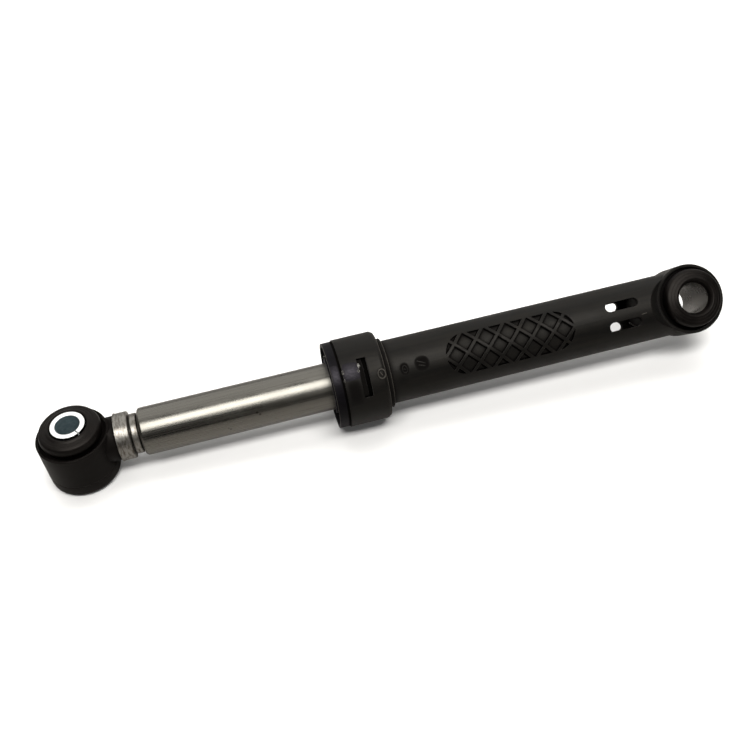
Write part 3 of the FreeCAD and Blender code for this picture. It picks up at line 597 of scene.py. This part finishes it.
def make_marks():
    """Bare mould marks: an oval on the bell, two dulled inserts with strokes, and a scrape near the slots."""
    slot = "barrel_plastic"
    raised_loop("bell_oval", (139.9, 0.2), BELL_RADIUS, 1.5, 1.9, 0.7, 0.3, RUBBED_AND_HIGHLIGHT_NYLON)
    raised_bar("bell_oval_bar", (140.6, -0.9), (139.6, 1.1), BELL_RADIUS, 0.7, 0.3, RUBBED_AND_HIGHLIGHT_NYLON)
    domed_patch("oval_insert", (129.6, 0.4), BARREL_RADIUS, (2.1, 2.8), 0.06, slot, BARREL_NYLON, fade=6)
    raised_loop("oval_insert_loop", (129.5, 0.6), BARREL_RADIUS, 1.0, 1.5, 0.5, 0.16, BARREL_NYLON)
    raised_bar("oval_insert_bar", (130.2, 0.3), (128.9, 0.9), BARREL_RADIUS, 0.5, 0.16, BARREL_NYLON)
    raised_bar("slot_scrape", (25.2, 1.7), (22.6, 1.5), BARREL_RADIUS, 0.45, 0.08, RUBBED_AND_HIGHLIGHT_NYLON)
    domed_patch("round_insert", (122.0, -0.2), BARREL_RADIUS, (3.4, 3.4), 0.06, slot, BARREL_NYLON, fade=6)
    raised_bar("round_insert_bar", (124.2, -1.7), (120.4, 0.2), BARREL_RADIUS, 0.6, 0.15, BARREL_NYLON)
    raised_bar("round_insert_point", (123.6, 0.3), (120.6, 1.2), BARREL_RADIUS, 0.6, 0.15, BARREL_NYLON)


# Painted highlights on the edges behind the bell and on the front ring, by place along the barrel, radius
# and half thickness, and the gap behind the front ring, black as painted shade
EDGE_HIGHLIGHTS = (("step_edge_highlight", 135.9, 14.7, 0.28), ("bell_edge_highlight", 138.2, 17.85, 0.28),
               ("front_edge_highlight", 160.0, 18.12, 0.154))
RING_GAP = [(155.45, 17.9), (156.45, 17.9), (156.45, 18.28), (155.45, 18.34)]


def make_edge_highlights():
    """Painted highlights on the edges behind the bell and on the front ring, as thin pale wires, and a black
    ring as painted shade in that ring's gap.

    A wire is a circle of its half thickness round its place and radius, carried round the barrel.
    """
    turn = np.linspace(0, 2 * math.pi, WIRE_POINTS, endpoint=False)
    wire = np.stack([np.cos(turn), np.sin(turn)], axis=-1)
    for name, place, radius, half in EDGE_HIGHLIGHTS:
        ring_round(name, half * wire + (place, radius), RUBBED_AND_HIGHLIGHT_NYLON)
    ring_round("gap_painted_shade", RING_GAP, SHADE_BLACK)


# Closed end of the bore along the barrel, and a streak on it by its two ends across the barrel
BORE_END = 22.0
STREAK_ENDS = (3.8, -10.6), (6.6, -2.5)


def make_grease():
    """Grease pressed out of the lining: dirty on the near lug, wiped in films, in points along the gap; and a
    matt black patch in the slit as painted shade.
    """
    slot = "greased_foam"
    # Painted shade: a matt black patch on the floor of the slit behind the window
    domed_patch("slit_painted_shade", (145.7, 0.0), WINDOW_FLOOR, (0.85, 8.0), 0.2, slot, SHADE_BLACK, 0.0)
    domed_patch("lug_grime", (147.7, 0.0), LUG_RADIUS, (1.0, 7.8), 0.6, slot, BARREL_NYLON, 0.0, fade=40)
    domed_patch("bell_grime", (151.9, 5.6), BELL_RADIUS, (3.2, 6.0), 0.03, slot, BARREL_NYLON, 0.3, fade=4)
    domed_patch("bell_film", (151.9, -3.6), BELL_RADIUS, (3.5, 4.0), 0.05, slot, GREASE_FILM, 0.4)
    domed_patch("ring_film", (158.3, -3.6), RING_RADIUS, (1.7, 4.4), 0.05, slot, GREASE_FILM, 0.4)
    bead = {"ripple": 0.7, "fade": 4}
    domed_patch("lug_glint", (148.3, -5.3), BEAD_RADIUS, (0.6, 1.1), 0.25, slot, GREASE, **bead)
    domed_patch("lug_glint_low", (148.9, -3.2), BEAD_RADIUS, (0.5, 0.7), 0.2, slot, GREASE, **bead)
    domed_patch("gap_glint", (155.2, -4.0), BEAD_RADIUS, (0.45, 1.0), 0.2, slot, GREASE, **bead)
    domed_patch("gap_glint_low", (155.2, -0.4), BEAD_RADIUS, (0.4, 0.8), 0.2, slot, GREASE, **bead)
    # A streak on the bore's closed end, which the lower slot shows
    across, height, lift = stroke(*STREAK_ENDS, 0.9, 0.3)
    points = np.stack([BORE_END + lift, across, height], axis=-1).reshape(-1, 3)
    streak = new_piece("bore_streak", barrel_place(points), grid_faces(STROKE_POINTS, SECTION_POINTS),
                       "barrel", [GREASE])
    paint(streak, "wet", np.ones(len(points)))
    # On the far inside of the front ring: turned round to face the rod
    domed_patch("hollow_glint", (158.9, -39.0), RING_HOLLOW, (-0.6, 1.4), -0.35, slot, GREASE, **bead)


# Diamond grip, as moulded into the barrel: its middle, half its straight run and the radius of its ends, its
# ribs by pitch, half width and number each way from the middle, and the radius of its pockets' floor
GRIP_MIDDLE = 83.1
GRIP_STRAIGHT = 19.75
GRIP_ROUND = 8.45
RIB_PITCH = 9.45
HALF_RIB = 0.6
RIBS_EACH_WAY = 3
POCKET_FLOOR = 12.8
# Lean of the ribs in degrees with the width of painted shade along their two feet, and its strips' thickness
SHADED_RIBS = ((45, 0.5, 0.2), (-45, 0.2, 0.75))
SHADE_STRIP_HEIGHT = 0.05
# Points round the outline, and tries along a rib for the ends of its run
OUTLINE_POINTS = 96
RUN_TRIES = 601


def rib_shade(lean, step, before, after):
    """Places of the painted shade along one rib: its run inside the grip's outline, by its width across both
    feet.

    The run ends where the rib's middle line is further than GRIP_ROUND from the grip's straight middle.
    """
    angle = math.radians(lean)
    reach = np.linspace(-1.5 * GRIP_ROUND, 1.5 * GRIP_ROUND, RUN_TRIES)
    past = np.maximum(np.abs(step * RIB_PITCH + reach * math.cos(angle)) - GRIP_STRAIGHT, 0)
    inside = reach[np.hypot(past, reach * math.sin(angle)) < GRIP_ROUND]
    run = np.linspace(inside[0], inside[-1], STROKE_POINTS)[:, None]
    offset = np.linspace(-HALF_RIB - before, HALF_RIB + after, SECTION_POINTS)[None, :]
    along = GRIP_MIDDLE + step * RIB_PITCH + run * math.cos(angle) - offset * math.sin(angle)
    across = run * math.sin(angle) + offset * math.cos(angle)
    return along, across, grid_faces(STROKE_POINTS, SECTION_POINTS)


def outline_shade():
    """Places of the painted shade along the grip's outline: two half circles whose ends the straight runs
    join.

    It starts a tuck inside the wall, and is wider towards the barrel eye.
    """
    turn = (np.arange(OUTLINE_POINTS)[:, None] + 0.5) * 2 * math.pi / OUTLINE_POINTS
    tuck = 0.1
    width = 0.6 - 0.25 * np.cos(turn)
    distance = GRIP_ROUND + tuck - np.linspace(0, 1, SECTION_POINTS)[None, :] * (width + tuck)
    along = GRIP_MIDDLE + GRIP_STRAIGHT * np.sign(np.cos(turn)) + distance * np.cos(turn)
    return along, distance * np.sin(turn), grid_faces(OUTLINE_POINTS, SECTION_POINTS, True)


def make_pocket_painted_shade():
    """Black strips of painted shade in the corners of the grip's pockets, on both sides of the barrel.

    Each strip lies on the pockets' round floor, so its height is the root of the floor's radius squared less
    its place across squared.  It is thickest along its middle, and falls off as the eighth power.
    """
    strips = [outline_shade()]
    for lean, before, after in SHADED_RIBS:
        for step in range(-RIBS_EACH_WAY, RIBS_EACH_WAY + 1):
            strips.append(rib_shade(lean, step, before, after))
    lift = SHADE_STRIP_HEIGHT * (1 - np.linspace(-1, 1, SECTION_POINTS) ** 8) - PATCH_SUNK
    for name, side in (("pocket_painted_shade", 1), ("pocket_painted_shade_behind", -1)):
        points, faces, count = [], [], 0
        for along, across, quads in strips:
            height = side * np.sqrt((POCKET_FLOOR + lift) ** 2 - across ** 2)
            points.append(np.stack([along, across, height], axis=-1).reshape(-1, 3))
            # On the side behind, the quads run the other way round to face outwards
            faces += (np.array(quads)[:, ::side] + count).tolist()
            count += along.size
        new_piece(name, barrel_place(np.concatenate(points)), faces, "barrel", [SHADE_BLACK])


make_tube()
make_bushes()
make_sleeve()
make_marks()
make_edge_highlights()
make_grease()
make_pocket_painted_shade()

for name, material in (
    ("barrel", BARREL_NYLON), ("guide_cartridge", RING_NYLON), ("rod_eye", EYE_NYLON),
    ("piston_head", INNER_NYLON), ("guide_ring", GUIDE_ACETAL), ("friction_lining", GREASED_FOAM),
    ("backing_ring", INNER_NYLON),
):
    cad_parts[name].data.materials.clear()
    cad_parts[name].data.materials.append(material)

# The photo's camera, worked out from the tube, the barrel and both eyes
EYE = Vector((-0.19063, -0.27977, 0.30323))
AIM = Vector((-0.14048, 0.0, 0.00008))
ROLL = -0.108
FOCAL_PIXELS = 980.0
IMAGE_PIXELS = 750.0


def place_camera():
    """Stand the camera at EYE, look at AIM and turn it by ROLL about the line of sight."""
    ahead = (AIM - EYE).normalized()
    level = ahead.cross(Vector((0, 0, 1))).normalized()
    upright = level.cross(ahead)
    right = math.cos(ROLL) * level + math.sin(ROLL) * upright
    up = math.cos(ROLL) * upright - math.sin(ROLL) * level
    data = bpy.data.cameras.new("camera")
    data.sensor_width = 36.0
    data.lens = FOCAL_PIXELS / IMAGE_PIXELS * data.sensor_width
    data.clip_start = 0.01
    data.clip_end = 50
    camera = bpy.data.objects.new("camera", data)
    bpy.context.scene.collection.objects.link(camera)
    turn = Matrix((right, up, -ahead)).transposed().to_4x4()
    camera.matrix_world = Matrix.Translation(EYE) @ turn
    bpy.context.scene.camera = camera


# Where the part touches the floor, at the rod eye's foot and the bell mouth, and its middle, in metres
FOOT_TOUCH = Vector((-0.2805, 0, -0.0140))
BELL_TOUCH = Vector((-0.1396, 0, -0.01875))
MIDDLE = Vector((-0.14, 0.0, 0.0))
# Tints of the stage and its lamps in linear light, and the share of a board's tint that its painted contact
# shade keeps
FLOOR_WHITE = (0.86, 0.86, 0.86, 1.0)
CARD_GREY = (0.37, 0.355, 0.34, 1.0)
ROOM_GREY = (0.045, 0.043, 0.04, 1.0)
LAMP_WHITE = (1.0, 0.985, 0.955)
CONTACT_SHADE_SHARE = 0.75


def lay_board(name, tint, drop, glow):
    """A wide board, drop metres under the plane through the two places that the part touches.

    Its tint deepens within ten millimetres of what rests on it as painted contact shade, and glow is the
    light that it gives off.
    """
    along = (BELL_TOUCH - FOOT_TOUCH).normalized()
    side = Vector((0, 1, 0))
    middle = BELL_TOUCH - drop * along.cross(side)
    reach = 6.0
    corners = [middle + reach * (a * along + b * side) for a, b in ((-1, -1), (1, -1), (1, 1), (-1, 1))]
    mesh = bpy.data.meshes.new(name)
    mesh.from_pydata([tuple(c) for c in corners], [], [(0, 1, 2, 3)])
    board = bpy.data.objects.new(name, mesh)
    bpy.context.scene.collection.objects.link(board)
    material, tree, shader, _ = new_material(name, {
        "Roughness": 0.4, "Emission Color": (1.0, 1.0, 1.0, 1.0), "Emission Strength": glow})
    # Painted contact shade: darker where what rests on the board is near
    near = add(tree, "ShaderNodeAmbientOcclusion", {"Distance": 10 * MM}, samples=8)
    deepest = tuple(CONTACT_SHADE_SHARE * part for part in tint[:3]) + (1.0,)
    shaded = add(tree, "ShaderNodeMixRGB", {"Fac": near.outputs["AO"], "Color1": deepest, "Color2": tint})
    tree.links.new(shaded.outputs["Color"], shader.inputs["Base Color"])
    mesh.materials.append(material)
    return board


def lay_floor():
    """The white floor that shows, over the grey card that the part reflects and takes its bounced light from.

    The photo's background is lit to pure white, while the part reflects something much greyer.
    """
    floor = lay_board("white_floor", FLOOR_WHITE, 0.0, 0.05)
    floor.visible_diffuse = False
    floor.visible_glossy = False
    floor.visible_shadow = False
    card = lay_board("grey_card", CARD_GREY, 0.5 * MM, 0.0)
    card.visible_camera = False


def area_light(name, place, size, power):
    """A soft box of a width and a depth at a place, turned to the middle of the part."""
    data = bpy.data.lights.new(name, "AREA")
    data.shape = "RECTANGLE"
    data.size, data.size_y = size
    data.energy = power
    data.color = LAMP_WHITE
    light = bpy.data.objects.new(name, data)
    light.location = place
    light.rotation_euler = (MIDDLE - Vector(place)).to_track_quat("-Z", "Y").to_euler()
    bpy.context.scene.collection.objects.link(light)
    return light


def light_studio():
    """Soft studio light: the box gives the long highlights alone, and the strip above it the shadows.

    The fill whitens the floor behind the part, and the wall behind it gives the upper edges their gleam.
    """
    box = area_light("overhead_box", (-0.14, -0.385, 1.0), (1.2, 0.56), 17.5)
    box.visible_diffuse = False
    strip = area_light("overhead_strip", (-0.14, -0.45, 1.2), (1.3, 0.34), 19.5)
    strip.visible_glossy = False
    fill = area_light("back_fill", (-0.05, 0.40, 1.0), (1.0, 0.5), 6.0)
    fill.visible_glossy = False
    area_light("back_wall", (0.0, 1.05, 1.0), (4.5, 2.0), 30.0)
    world = bpy.data.worlds.new("studio")
    world.use_nodes = True
    world.node_tree.nodes["Background"].inputs["Color"].default_value = ROOM_GREY
    bpy.context.scene.world = world


place_camera()
lay_floor()
light_studio()
bpy.context.scene.view_settings.view_transform = "Standard"
